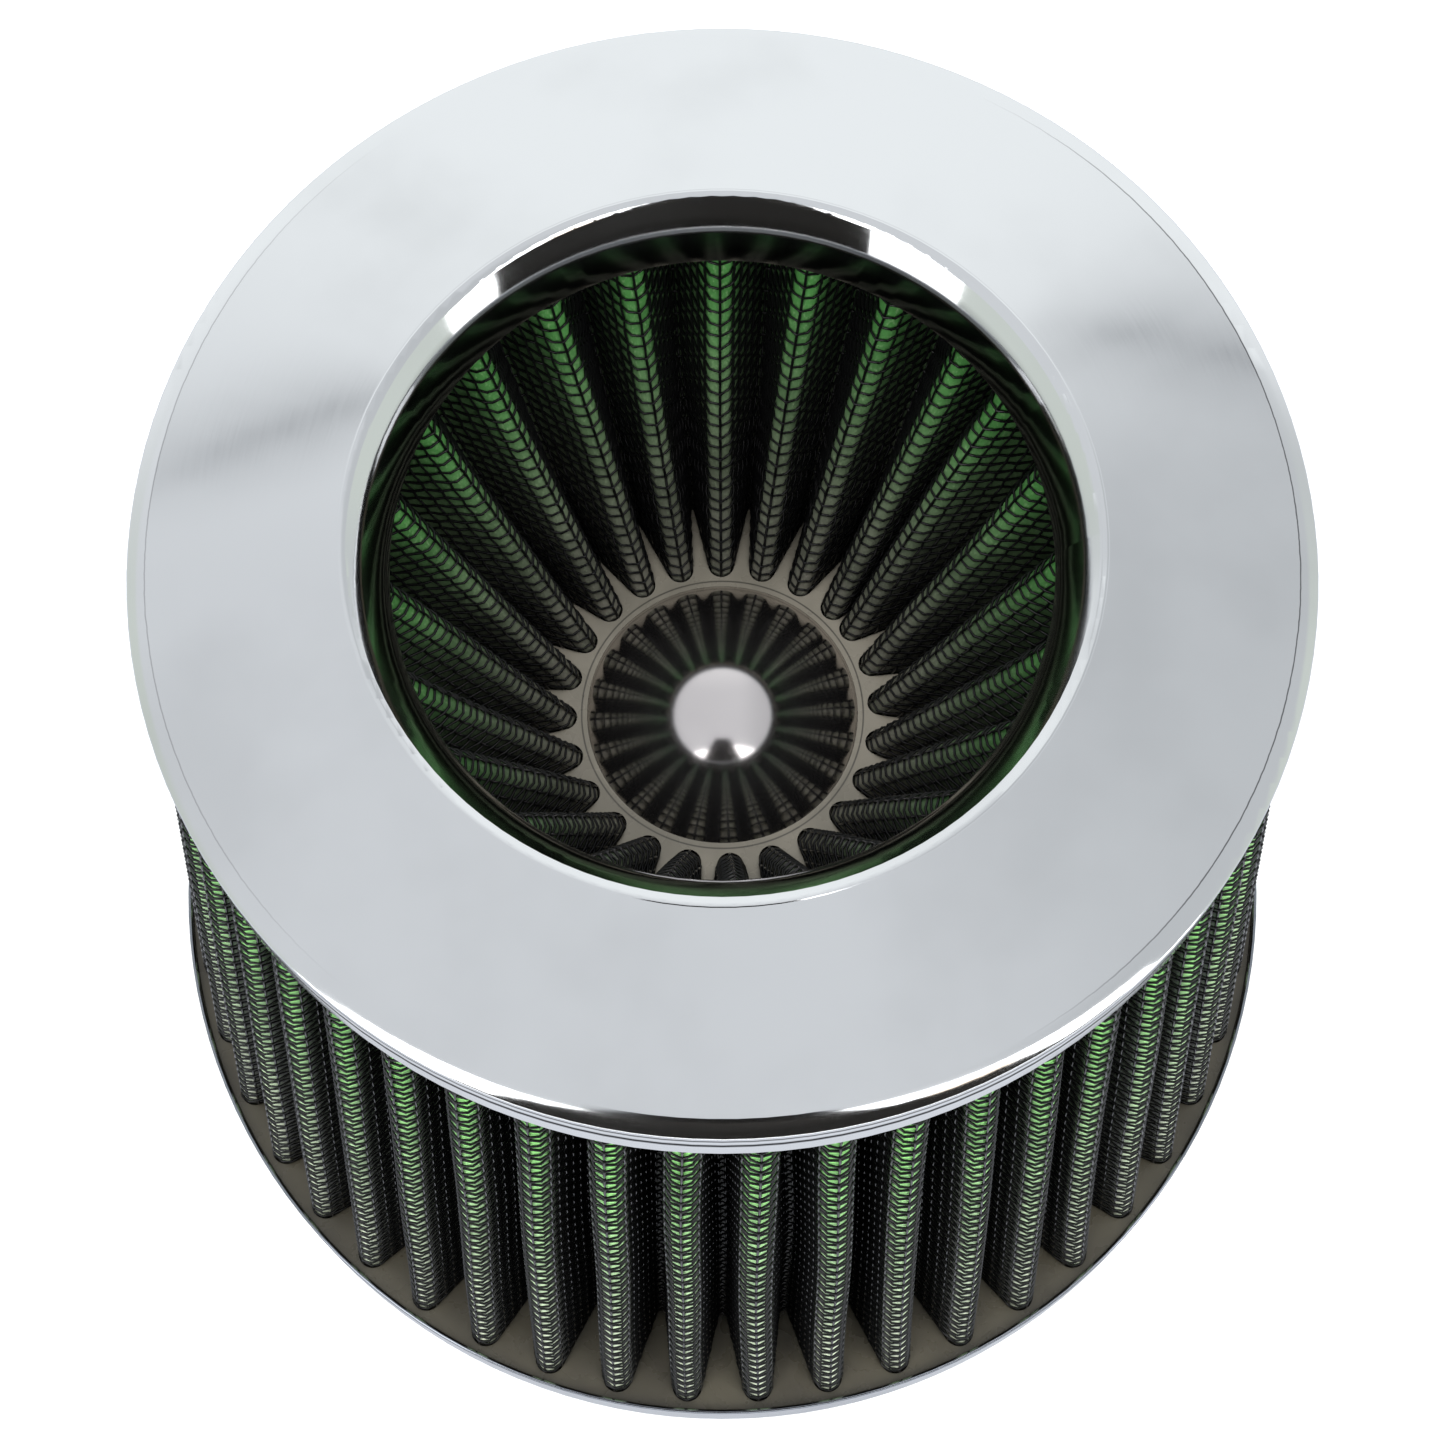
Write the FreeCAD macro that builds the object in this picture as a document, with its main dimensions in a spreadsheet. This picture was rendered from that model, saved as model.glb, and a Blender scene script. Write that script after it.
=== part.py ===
"""Twin-cone performance air filter, built as a parametric FreeCAD document.

The filter stands on its rubber neck.  The origin is on the filter's axis in the plane of the
neck's open mouth, and +Z points up to the chrome trim ring.  All lengths are in millimetres.

From the bottom up: a worm-drive clamp closes the neck on the intake pipe; a pressed steel pan
carries the neck and a cast polyurethane floor; an outer cone of 48 pleats rises from that floor
to the top casting; an inner, inverted cone of 24 pleats hangs from the same casting down to a
polyurethane plug with a chrome dome.  Each cone is a sandwich of cotton between two wire cloths.
The trim ring holds the top casting and turns down into a flared throat.
"""

import FreeCAD, Part
import math
import os

import Sketcher

FULL_TURN = 360.0
MARGIN = 0.5
"""How far a cutting tool runs past the solid it cuts."""

SIZES = (
    ("neck_bore", 38.0, "inside radius of the rubber neck"),
    ("neck_wall", 4.0, "thickness of the neck"),
    ("neck_bead", 1.3, "how far the bead at the mouth stands out"),
    ("neck_bead_width", 3.0, "height of that bead"),
    ("neck_flange_reach", 9.0, "width of the flange hidden in the pan"),
    ("neck_flange_height", 3.0, "thickness of that flange"),
    ("pan_floor", 24.0, "height of the pan's underside"),
    ("pan_radius", 75.0, "outside radius of the pan"),
    ("pan_depth", 12.0, "height of the pan's wall"),
    ("pan_corner", 4.0, "outside radius of the pan's corner"),
    ("sheet_gauge", 0.6, "thickness of the pressed steel"),
    ("base_fill", 11.0, "height of the floor casting's face above the pan's underside"),
    ("potted_depth", 3.0, "how deep the pleats are cast in"),
    ("bond_gap", 0.05, "room between a casting and what it holds"),
    ("cloth_gauge", 0.3, "thickness of a woven wire cloth"),
    ("cotton_gauge", 0.6, "thickness of the cotton"),
    ("ply_gap", 0.02, "room between plies"),
    ("outer_pleats", 48, "pleats in the outer cone"),
    ("outer_tip_low", 73.4, "radius of the outer cone's tips at the floor casting"),
    ("outer_tip_high", 58.95, "radius of the outer cone's tips at the top casting"),
    ("outer_depth_low", 12.8, "radial depth of an outer pleat at the floor casting"),
    ("outer_depth_high", 11.8, "radial depth of an outer pleat at the top casting"),
    ("outer_fold", 1.28, "radius of an outer fold at mid-ply"),
    ("inner_pleats", 24, "pleats in the inner cone"),
    ("inner_seam_pitch", 10.6, "angle between the two pleats at the inner cone's seam"),
    ("inner_seam_turn", 39.6, "angle at which that seam lies"),
    ("inner_tip_low", 17.2, "radius of the inner cone's tips at the plug"),
    ("inner_tip_high", 35.6, "radius of the inner cone's tips at the top casting"),
    ("inner_depth_low", 10.2, "radial depth of an inner pleat at the plug"),
    ("inner_depth_high", 8.3, "radial depth of an inner pleat at the top casting"),
    ("inner_fold", 0.88, "radius of an inner fold at mid-ply"),
    ("cap_face", 150.0, "height of the top casting's underside"),
    ("plug_face", 104.3, "height of the plug's upper face"),
    ("plug_height", 6.3, "height of the plug"),
    ("plug_radius", 28.6, "outside radius of the plug"),
    ("plug_socket", 1.8, "how deep the inner pleats are cast into the plug"),
    ("plug_floor", 3.6, "thickness of the plug under the dome"),
    ("dome_radius", 15.9, "radius of the dome's rim"),
    ("dome_curve", 20.0, "spherical radius of the dome"),
    ("dome_skirt", 2.7, "height of the dome's skirt"),
    ("ring_radius", 59.9, "outside radius of the trim ring"),
    ("ring_crest_radius", 38.2, "radius of the lip's crest"),
    ("ring_crest", 160.5, "height of the lip's crest"),
    ("ring_crease_radius", 58.0, "radius where the face turns down"),
    ("ring_crease", 157.3, "height where the face turns down"),
    ("shoulder_turn", 5.1, "radius of the shoulder's turn"),
    ("shoulder_fall", 0.62, "height the shoulder drops"),
    ("edge_turn", 0.35, "radius of the edge between shoulder and skirt"),
    ("high_groove", 155.65, "height of the shallow groove in the skirt"),
    ("high_groove_depth", 0.08, "depth of that groove"),
    ("low_groove", 153.4, "height of the deeper groove in the skirt"),
    ("low_groove_depth", 0.25, "depth of that groove"),
    ("ring_hem", 149.0, "height of the skirt's lower edge"),
    ("hem_turn", 0.3, "radius of the skirt's lower edge"),
    ("lip_groove", 38.36, "radius of the fine groove where the face meets the lip"),
    ("lip_groove_depth", 0.015, "depth of that groove"),
    ("lip_turn", 1.48, "radius of the lip's turn"),
    ("lip_end_radius", 37.19, "radius where the lip's turn ends"),
    ("lip_end", 160.1, "height where the lip's turn ends"),
    ("bell_turn", 10.9, "radius of the throat's bell mouth"),
    ("throat_radius", 33.82, "radius of the throat's lower edge"),
    ("throat_foot", 153.4, "height of the throat's lower edge"),
    ("band_width", 12.0, "width of the clamp band"),
    ("band_foot", 7.0, "height of the band's lower edge"),
    ("band_gauge", 0.6, "thickness of the band"),
    ("band_gap", 0.08, "room between band and neck"),
    ("band_sweep", 344.0, "angle covered by the band"),
    ("tail_sweep", 120.0, "angle covered by the band's free end"),
    ("layer_gap", 0.05, "room between stacked clamp pieces"),
    ("slot_width", 1.2, "width of a slot in the free end"),
    ("slot_length", 7.4, "length of a slot in the free end"),
    ("screw_crest", 3.7, "outside radius of the worm's thread"),
    ("screw_root", 2.8, "radius at the bottom of the worm's thread"),
    ("screw_pitch", 3.0, "pitch of the worm's thread"),
    ("screw_gap", 0.08, "room round the worm in its housing"),
    ("thread_length", 12.0, "length of the worm's thread"),
    ("housing_length", 15.0, "length of the clamp housing along the screw"),
    ("housing_wall", 0.9, "thickness of the housing"),
    ("hex_across", 7.0, "width of the screw's hexagon across its flats"),
    ("hex_length", 5.0, "length of the hexagon"),
    ("driver_slot", 1.2, "width and depth of the slot across the hexagon"),
    ("collar_radius", 4.2, "radius of the collar under the hexagon"),
    ("collar_length", 1.2, "thickness of that collar"),
)


class Size:
    """A length that knows its number and the sheet expression that gives it."""

    def __init__(self, number, text):
        self.number = float(number)
        self.text = text

    def __add__(self, other):
        other = as_size(other)
        return Size(self.number + other.number, f"({self.text} + {other.text})")

    def __sub__(self, other):
        other = as_size(other)
        return Size(self.number - other.number, f"({self.text} - {other.text})")

    def __mul__(self, other):
        other = as_size(other)
        return Size(self.number * other.number, f"({self.text} * {other.text})")

    def __truediv__(self, other):
        other = as_size(other)
        return Size(self.number / other.number, f"({self.text} / {other.text})")


def as_size(value):
    """A plain number as a Size; a Size unchanged."""
    return value if isinstance(value, Size) else Size(value, repr(float(value)))


def half_chord(radius, height):
    """Half the chord of a circle of this radius at this distance from its centre."""
    number = math.sqrt(radius.number**2 - height.number**2)
    return Size(number, f"sqrt({radius.text}^2 - {height.text}^2)")


doc = FreeCAD.newDocument("air_filter")
sheet = doc.addObject("Spreadsheet::Sheet", "Sizes")
size = {}
for row, (alias, value, note) in enumerate(SIZES, start=1):
    sheet.set(f"A{row}", note)
    sheet.set(f"B{row}", str(value))
    sheet.setAlias(f"B{row}", alias)
    size[alias] = Size(value, f"Sizes.{alias}")
doc.recompute()


# Shared heights and radii, worked out from the driving sizes.
neck_outside = size["neck_bore"] + size["neck_wall"]
base_face = size["pan_floor"] + size["base_fill"]
ply_stack = size["cloth_gauge"] * 2 + size["cotton_gauge"] + size["ply_gap"] * 2
half_stack = ply_stack / 2
skirt_inside = size["ring_radius"] - size["sheet_gauge"]
band_inside = neck_outside + size["band_gap"]
band_outside = band_inside + size["band_gauge"]
tail_inside = band_outside + size["layer_gap"]
tail_outside = tail_inside + size["band_gauge"]
band_top = size["band_foot"] + size["band_width"]
band_middle = size["band_foot"] + size["band_width"] / 2
screw_axis = tail_outside + size["layer_gap"] + size["screw_crest"]


# ---------------------------------------------------------------- sketches and features


def new_body(label):
    """A PartDesign body whose label names its node."""
    body = doc.addObject("PartDesign::Body", label)
    body.Label = label
    return body


def new_sketch(body, name, role, lift=None):
    """A sketch on one of the body's own origin planes, lifted along the plane's normal."""
    sketch = body.newObject("Sketcher::SketchObject", name)
    plane = next(item for item in body.Origin.OriginFeatures if item.Role == role)
    sketch.AttachmentSupport = [(plane, "")]
    sketch.MapMode = "FlatFace"
    if lift is not None:
        sketch.setExpression("AttachmentOffset.Base.z", lift.text)
    return sketch


def pin_point(sketch, geometry, end, across, up):
    """Holds one end of a line or arc at a place given by two Sizes."""
    for axis_line, kind, place in ((-2, "DistanceX", across), (-1, "DistanceY", up)):
        if abs(place.number) < 1e-9:
            sketch.addConstraint(Sketcher.Constraint("PointOnObject", geometry, end, axis_line))
            continue
        index = sketch.addConstraint(
            Sketcher.Constraint(kind, -1, 1, geometry, end, place.number)
        )
        sketch.setExpression(f"Constraints[{index}]", place.text)


def arc_between(start, finish, radius, left):
    """An arc of this radius from start to finish, with its centre on the left or the right."""
    chord = finish - start
    side = FreeCAD.Vector(-chord.y, chord.x, 0).normalize()
    if not left:
        side = side * -1
    reach = math.sqrt(max(radius**2 - (chord.Length / 2) ** 2, 0.0))
    centre = (start + finish) / 2 + side * reach
    first, last = (start, finish) if left else (finish, start)
    angles = [math.atan2(point.y - centre.y, point.x - centre.x) for point in (first, last)]
    if angles[1] < angles[0]:
        angles[1] += 2 * math.pi
    circle = Part.Circle(centre, FreeCAD.Vector(0, 0, 1), radius)
    return Part.ArcOfCircle(circle, *angles)


def draw_outline(sketch, corners):
    """A closed outline.  A corner is (across, up), or (across, up, radius, side) where an arc
    leaves it with its centre on that side ("left" or "right")."""
    corners = [tuple(as_size(item) if not isinstance(item, str) else item for item in corner)
               for corner in corners]
    points = [FreeCAD.Vector(corner[0].number, corner[1].number, 0) for corner in corners]
    ends = []
    for index, corner in enumerate(corners):
        start, finish = points[index], points[(index + 1) % len(points)]
        if len(corner) == 2:
            sketch.addGeometry(Part.LineSegment(start, finish), False)
            ends.append((1, 2))
            continue
        left = corner[3] == "left"
        sketch.addGeometry(arc_between(start, finish, corner[2].number, left), False)
        ends.append((1, 2) if left else (2, 1))
        pin = sketch.addConstraint(Sketcher.Constraint("Radius", index, corner[2].number))
        sketch.setExpression(f"Constraints[{pin}]", corner[2].text)
    for index in range(len(corners)):
        following = (index + 1) % len(corners)
        sketch.addConstraint(
            Sketcher.Constraint(
                "Coincident", index, ends[index][1], following, ends[following][0]
            )
        )
    for index, corner in enumerate(corners):
        pin_point(sketch, index, ends[index][0], corner[0], corner[1])


def revolved(label, corners, sweep=None, start=0.0):
    """A body turned about Z from an outline of radius and height."""
    body = new_body(label)
    sketch = new_sketch(body, f"{label}_outline", "XZ_Plane")
    draw_outline(sketch, corners)
    turned = body.newObject("PartDesign::Revolution", f"{label}_turned")
    turned.Profile = sketch
    turned.ReferenceAxis = (sketch, ["V_Axis"])
    turned.Angle = FULL_TURN
    if sweep is not None:
        turned.setExpression("Angle", sweep.text)
        body.Placement.Rotation = FreeCAD.Rotation(FreeCAD.Vector(0, 0, 1), start)
    sketch.Visibility = False
    return body


def rectangle(inside, outside, foot, top):
    """The four corners of a ring's section."""
    return ((inside, foot), (outside, foot), (outside, top), (inside, top))


def padded(body, name, sketch, length):
    """Pads a sketch by a Size, half to each side of its plane."""
    pad = body.newObject("PartDesign::Pad", name)
    pad.Profile = sketch
    pad.setExpression("Length", length.text)
    pad.Midplane = True
    return pad


def cut(label, base, *tools):
    """A Part::Cut of one or more tools from a base; the last one takes the label."""
    for index, tool in enumerate(tools):
        last = index == len(tools) - 1
        name = label if last else f"{label}_stage_{index + 1}"
        result = doc.addObject("Part::Cut", name)
        result.Label = name
        result.Base = base
        result.Tool = tool
        base = result
    return base


def box(name, length, width, height, placement):
    """A Part::Box whose three sizes come from the sheet."""
    block = doc.addObject("Part::Box", name)
    block.setExpression("Length", length.text)
    block.setExpression("Width", width.text)
    block.setExpression("Height", height.text)
    block.Placement = placement
    return block


def rod(name, radius, height, placement):
    """A Part::Cylinder whose two sizes come from the sheet."""
    cylinder = doc.addObject("Part::Cylinder", name)
    cylinder.setExpression("Radius", radius.text)
    cylinder.setExpression("Height", height.text)
    cylinder.Placement = placement
    return cylinder


# ------------------------------------------------------------------------------- pleats


class Cone:
    """A pleated cone: folds alternate between an outward and an inward radius, and both radii
    change evenly with height."""

    def __init__(self, name, inward_turns, low, high, outward_at, depth_at):
        self.name = name
        self.inward_turns = inward_turns
        self.fold = size[f"{name}_fold"].number
        self.low = low.number
        self.high = high.number
        self.outward_at = outward_at
        self.depth_at = depth_at

    def folds(self, height, offset):
        """Every fold in turn, as its centre, its radius, its tip and the way it turns."""
        out = self.outward_at(height) - half_stack.number - self.fold
        inward = out - (self.depth_at(height) - ply_stack.number - 2 * self.fold)
        out_radius, in_radius = self.fold + offset, self.fold - offset
        folds = []
        for turn, following in pairs(self.inward_turns):
            middle = turn + (following - turn) % (2 * math.pi) / 2
            tip = at(inward - in_radius, turn, height)
            folds.append((at(inward, turn, height), in_radius, tip, 1))
            tip = at(out + out_radius, middle, height)
            folds.append((at(out, middle, height), out_radius, tip, -1))
        return folds

    def wire(self, height, offset):
        """The pleated curve at a height, moved outward by an offset from mid-ply."""
        folds = self.folds(height, offset)
        flanks = [flank(fold, following) for fold, following in pairs(folds)]
        edges = []
        for index, fold in enumerate(folds):
            arriving, leaving = flanks[index - 1], flanks[index]
            edges.append(Part.Arc(arriving[1], fold[2], leaving[0]).toShape())
            edges.append(Part.makeLine(*leaving))
        return Part.Wire(edges)

    def solid(self, inside, outside, low=None, high=None):
        """The ply between two offsets from mid-ply, from one height to another."""
        low = self.low if low is None else low
        high = self.high if high is None else high
        inner_rims = [self.wire(height, inside) for height in (low, high)]
        outer_rims = [self.wire(height, outside) for height in (low, high)]
        faces = Part.makeLoft(inner_rims, False, True).Faces
        faces += Part.makeLoft(outer_rims, False, True).Faces
        for inner_rim, outer_rim in zip(inner_rims, outer_rims):
            faces.append(Part.makeFace([outer_rim, inner_rim], "Part::FaceMakerBullseye"))
        skin = Part.Compound(faces)
        skin.sewShape()
        solid = Part.makeSolid(skin.Shells[0])
        if solid.Volume < 0:
            solid.reverse()
        return solid


def pairs(items):
    """Each item with the one after it, the last with the first."""
    return list(zip(items, items[1:] + items[:1]))


def flank(fold, following):
    """The straight line that leaves one fold and meets the next on its other side."""
    centre, radius, _, sense = fold
    next_centre, next_radius, _, _ = following
    gap = next_centre - centre
    lean = math.acos((radius + next_radius) / gap.Length)
    normal = rotated(gap.normalize(), sense * lean)
    return centre + normal * radius, next_centre - normal * next_radius


def at(radius, turn, height):
    """A point at a radius and an angle in radians."""
    return FreeCAD.Vector(radius * math.cos(turn), radius * math.sin(turn), height)


def rotated(vector, turn):
    """A vector turned about Z by an angle in radians."""
    cosine, sine = math.cos(turn), math.sin(turn)
    return FreeCAD.Vector(
        vector.x * cosine - vector.y * sine, vector.x * sine + vector.y * cosine, 0
    )


def even_slope(low_height, low_radius, high_height, high_radius):
    """A radius or depth that changes evenly between two heights, and on past them."""
    rise = high_height.number - low_height.number
    slope = (high_radius.number - low_radius.number) / rise
    return lambda height: low_radius.number + slope * (height - low_height.number)


outer_ends = (base_face, size["cap_face"])
inner_ends = (size["plug_face"], size["cap_face"])
outer_outward = even_slope(
    outer_ends[0], size["outer_tip_low"], outer_ends[1], size["outer_tip_high"]
)
outer_depth = even_slope(
    outer_ends[0], size["outer_depth_low"], outer_ends[1], size["outer_depth_high"]
)
inner_outward = even_slope(
    inner_ends[0],
    size["inner_tip_low"] + size["inner_depth_low"],
    inner_ends[1],
    size["inner_tip_high"] + size["inner_depth_high"],
)
inner_depth = even_slope(
    inner_ends[0], size["inner_depth_low"], inner_ends[1], size["inner_depth_high"]
)
outer_pitch = FULL_TURN / size["outer_pleats"].number
outer_turns = [
    math.radians(outer_pitch * index) for index in range(int(size["outer_pleats"].number))
]
seam_pitch = size["inner_seam_pitch"].number
inner_pitch = (FULL_TURN - seam_pitch) / (size["inner_pleats"].number - 1)
inner_turns = [
    math.radians(size["inner_seam_turn"].number + seam_pitch / 2 + inner_pitch * index)
    for index in range(int(size["inner_pleats"].number))
]
cone_top = size["cap_face"] + size["potted_depth"]
outer_foot = base_face - size["potted_depth"]
outer_cone = Cone("outer", outer_turns, outer_foot, cone_top, outer_outward, outer_depth)
inner_foot = size["plug_face"] - size["plug_socket"]
inner_cone = Cone("inner", inner_turns, inner_foot, cone_top, inner_outward, inner_depth)


def ply(label, cone, inside, outside):
    """One ply of a pleated cone as a document object."""
    piece = doc.addObject("Part::Feature", label)
    piece.Label = label
    piece.Shape = cone.solid(inside.number, outside.number)
    return piece


def pleat_socket(label, cone, low, high):
    """The tool that cuts a casting's socket round the ends of a cone's pleats."""
    reach = (half_stack + size["bond_gap"]).number
    tool = doc.addObject("Part::Feature", label)
    tool.Label = label
    tool.Shape = cone.solid(-reach, reach, low.number, high.number)
    return tool


def make_plies(cone, outward_name, inward_name):
    """The three plies of a cone: a wire cloth, the cotton, and the other wire cloth."""
    cotton_half = size["cotton_gauge"] / 2
    cloth_start = cotton_half + size["ply_gap"]
    middle = as_size(0)
    return [
        ply(f"{cone.name}_{outward_name}_cloth", cone, cloth_start, half_stack),
        ply(f"{cone.name}_cotton", cone, middle - cotton_half, cotton_half),
        ply(f"{cone.name}_{inward_name}_cloth", cone, middle - half_stack, middle - cloth_start),
    ]


# --------------------------------------------------------------------------- base and neck


def make_neck():
    """The rubber neck: a bead at its mouth, a straight wall, and a flange cast into the pan."""
    bead_radius = neck_outside + size["neck_bead"]
    flange_radius = neck_outside + size["neck_flange_reach"]
    flange_foot = size["pan_floor"] + size["sheet_gauge"] + size["layer_gap"]
    flange_face = flange_foot + size["neck_flange_height"]
    bead_turn = size["neck_bead"]
    return revolved(
        "rubber_neck",
        (
            (size["neck_bore"], as_size(0)),
            (neck_outside, as_size(0), bead_turn, "left"),
            (bead_radius, bead_turn),
            (bead_radius, size["neck_bead_width"] - bead_turn / 2),
            (neck_outside, size["neck_bead_width"] + bead_turn / 2),
            (neck_outside, flange_foot),
            (flange_radius, flange_foot),
            (flange_radius, flange_face),
            (neck_outside, flange_face),
            (neck_outside, base_face),
            (size["neck_bore"], base_face),
        ),
    )


def make_pan():
    """The pressed steel pan: a flat floor with a hole for the neck, a turned corner, a wall."""
    floor, wall, gauge = size["pan_floor"], size["pan_radius"], size["sheet_gauge"]
    rim = floor + size["pan_depth"]
    corner = size["pan_corner"]
    hole = neck_outside + size["layer_gap"]
    return revolved(
        "base_pan",
        (
            (hole, floor),
            (wall - corner, floor, corner, "left"),
            (wall, floor + corner),
            (wall, rim - gauge / 2, gauge / 2, "left"),
            (wall - gauge, rim - gauge / 2),
            (wall - gauge, floor + corner, corner - gauge, "right"),
            (wall - corner, floor + gauge),
            (hole, floor + gauge),
        ),
    )


def make_base_casting():
    """The polyurethane floor in the pan, with sockets for the outer pleats."""
    gauge, gap = size["sheet_gauge"], size["bond_gap"]
    flange_radius = neck_outside + size["neck_flange_reach"] + gap
    flange_face = size["pan_floor"] + gauge + size["layer_gap"] + size["neck_flange_height"] + gap
    foot = size["pan_floor"] + gauge + gap
    wall = size["pan_radius"] - gauge - gap
    corner = size["pan_corner"] - gauge - gap
    hole = neck_outside + gap
    blank = revolved(
        "base_casting_blank",
        (
            (hole, flange_face),
            (flange_radius, flange_face),
            (flange_radius, foot),
            (wall - corner, foot, corner, "left"),
            (wall, foot + corner),
            (wall, base_face),
            (hole, base_face),
        ),
    )
    socket = pleat_socket(
        "outer_low_socket",
        outer_cone,
        outer_foot - size["bond_gap"],
        base_face + MARGIN,
    )
    return cut("base_casting", blank, socket)


# -------------------------------------------------------------------------------- top end


def make_trim_ring():
    """The chrome trim ring: a bell-mouthed throat, a rounded lip set off by a fine groove, a
    sloping face, a shallow shoulder, and an upright skirt with two grooves."""
    gauge = size["sheet_gauge"]
    rim, hem, inside = size["ring_radius"], size["ring_hem"], skirt_inside
    crease_radius, crease = size["ring_crease_radius"], size["ring_crease"]
    crest_radius, crest = size["ring_crest_radius"], size["ring_crest"]
    lip_turn, lip_radius, lip = size["lip_turn"], size["lip_end_radius"], size["lip_end"]
    bell_turn = size["bell_turn"]
    throat, foot = size["throat_radius"], size["throat_foot"]
    edge_turn, hem_turn = size["edge_turn"], size["hem_turn"]
    shoulder_foot = crease - size["shoulder_fall"]
    face_slope = (crest - crease) / (crease_radius - crest_radius)

    def face_height(radius):
        return crest - face_slope * (radius - crest_radius)

    skirt_grooves = []
    for name in ("low_groove", "high_groove"):
        depth = size[f"{name}_depth"]
        half_width = depth / 2 + 0.3
        skirt_grooves += [
            (rim, size[name] - half_width),
            (rim - depth, size[name]),
            (rim, size[name] + half_width),
        ]
    groove, groove_depth = size["lip_groove"], size["lip_groove_depth"]
    groove_rims = [groove + 0.1, groove - 0.1]
    return revolved(
        "trim_ring",
        (
            (throat, foot),
            (throat + gauge * 0.99, foot - gauge * 0.12, bell_turn - gauge, "right"),
            (lip_radius + gauge * 0.68, lip - gauge * 0.73, lip_turn - gauge, "right"),
            (crest_radius - gauge * 0.16, crest - gauge * 0.99),
            (crease_radius, crease - gauge),
            (inside, shoulder_foot - gauge),
            (inside, hem + hem_turn),
            (inside + hem_turn / 2, hem),
            (rim - hem_turn, hem, hem_turn, "left"),
            (rim, hem + hem_turn),
            *skirt_grooves,
            (rim, shoulder_foot - edge_turn * 0.86, edge_turn, "left"),
            (rim - edge_turn / 2, shoulder_foot, size["shoulder_turn"], "left"),
            (crease_radius, crease),
            (groove_rims[0], face_height(groove_rims[0])),
            (groove, face_height(groove) - groove_depth),
            (groove_rims[1], face_height(groove_rims[1])),
            (crest_radius, crest, lip_turn, "left"),
            (lip_radius, lip, bell_turn, "left"),
        ),
    )


def make_top_casting():
    """The polyurethane ring in the trim ring, with sockets for the tops of both cones."""
    gauge, gap = size["sheet_gauge"], size["bond_gap"]
    inside = size["inner_tip_high"] + gap * 6
    roof = cone_top + gauge * 2
    section = rectangle(inside, skirt_inside - gap, size["cap_face"], roof)
    blank = revolved("top_casting_blank", section)
    low = size["cap_face"] - MARGIN
    high = cone_top + size["bond_gap"]
    sockets = [
        pleat_socket("outer_high_socket", outer_cone, low, high),
        pleat_socket("inner_high_socket", inner_cone, low, high),
    ]
    return cut("top_casting", blank, *sockets)


# --------------------------------------------------------------------- foot of inner cone


def make_plug():
    """The polyurethane plug that closes the inner cone, recessed for the dome."""
    face, foot = size["plug_face"], size["plug_face"] - size["plug_height"]
    recess = size["dome_radius"] + size["bond_gap"]
    floor = foot + size["plug_floor"]
    blank = revolved(
        "inner_plug_blank",
        (
            (as_size(0), foot),
            (size["plug_radius"], foot),
            (size["plug_radius"], face),
            (recess, face),
            (recess, floor),
            (as_size(0), floor),
        ),
    )
    socket = pleat_socket(
        "inner_low_socket", inner_cone, inner_foot - size["bond_gap"], face + MARGIN
    )
    return cut("inner_plug", blank, socket)


def make_dome():
    """The chrome dome: a spherical cap with a short skirt that stands in the plug's recess."""
    gauge, curve, rim = size["sheet_gauge"], size["dome_curve"], size["dome_radius"]
    skirt_foot = size["plug_face"] - size["plug_height"] + size["plug_floor"] + size["bond_gap"]
    skirt_top = skirt_foot + size["dome_skirt"]
    drop = half_chord(curve, rim)
    inner_curve, inner_rim = curve - gauge, rim - gauge
    inner_drop = half_chord(inner_curve, inner_rim)
    centre = skirt_top - drop
    return revolved(
        "chrome_dome",
        (
            (inner_rim, skirt_foot),
            (rim, skirt_foot),
            (rim, skirt_top, curve, "left"),
            (as_size(0), centre + curve),
            (as_size(0), centre + inner_curve, inner_curve, "right"),
            (inner_rim, centre + inner_drop),
        ),
    )


# ---------------------------------------------------------------------------- worm clamp

BAND_START = -14.0
TAIL_START = -60.0
FIRST_SLOT = -16.0
SLOT_STEP = 4.0
SLOT_COUNT = 18
"""Angles round the neck in degrees, with the housing at zero, and how many slots."""


no_turn = FreeCAD.Rotation()
along_y = FreeCAD.Rotation(FreeCAD.Vector(1, 0, 0), -90)
"""Turns a shape drawn along Z so that it lies along +Y."""


def make_band():
    """The clamp band: it starts under the housing and goes most of the way round the neck."""
    section = rectangle(band_inside, band_outside, size["band_foot"], band_top)
    return revolved("clamp_band", section, size["band_sweep"], BAND_START)


def make_tail():
    """The band's free end: it lies on the band, passes through the housing and is slotted for
    the worm."""
    section = rectangle(tail_inside, tail_outside, size["band_foot"], band_top)
    blank = revolved("clamp_tail_blank", section, size["tail_sweep"], TAIL_START)
    tools = []
    for index in range(SLOT_COUNT):
        turn = FIRST_SLOT + SLOT_STEP * index
        swing = FreeCAD.Rotation(FreeCAD.Vector(0, 0, 1), turn)
        centre = FreeCAD.Vector(tail_inside.number - MARGIN, 0, band_middle.number)
        lean = FreeCAD.Rotation(FreeCAD.Vector(1, 0, 0), -7)
        corner = FreeCAD.Vector(0, -size["slot_width"].number / 2, -size["slot_length"].number / 2)
        place = FreeCAD.Placement(swing.multVec(centre + lean.multVec(corner)), swing * lean)
        depth = size["band_gauge"] + 2 * MARGIN
        tools.append(
            box(f"tail_slot_{index + 1}", depth, size["slot_width"], size["slot_length"], place)
        )
    slots = doc.addObject("Part::Compound", "tail_slots")
    slots.Links = tools
    return cut("clamp_tail", blank, slots)


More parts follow.
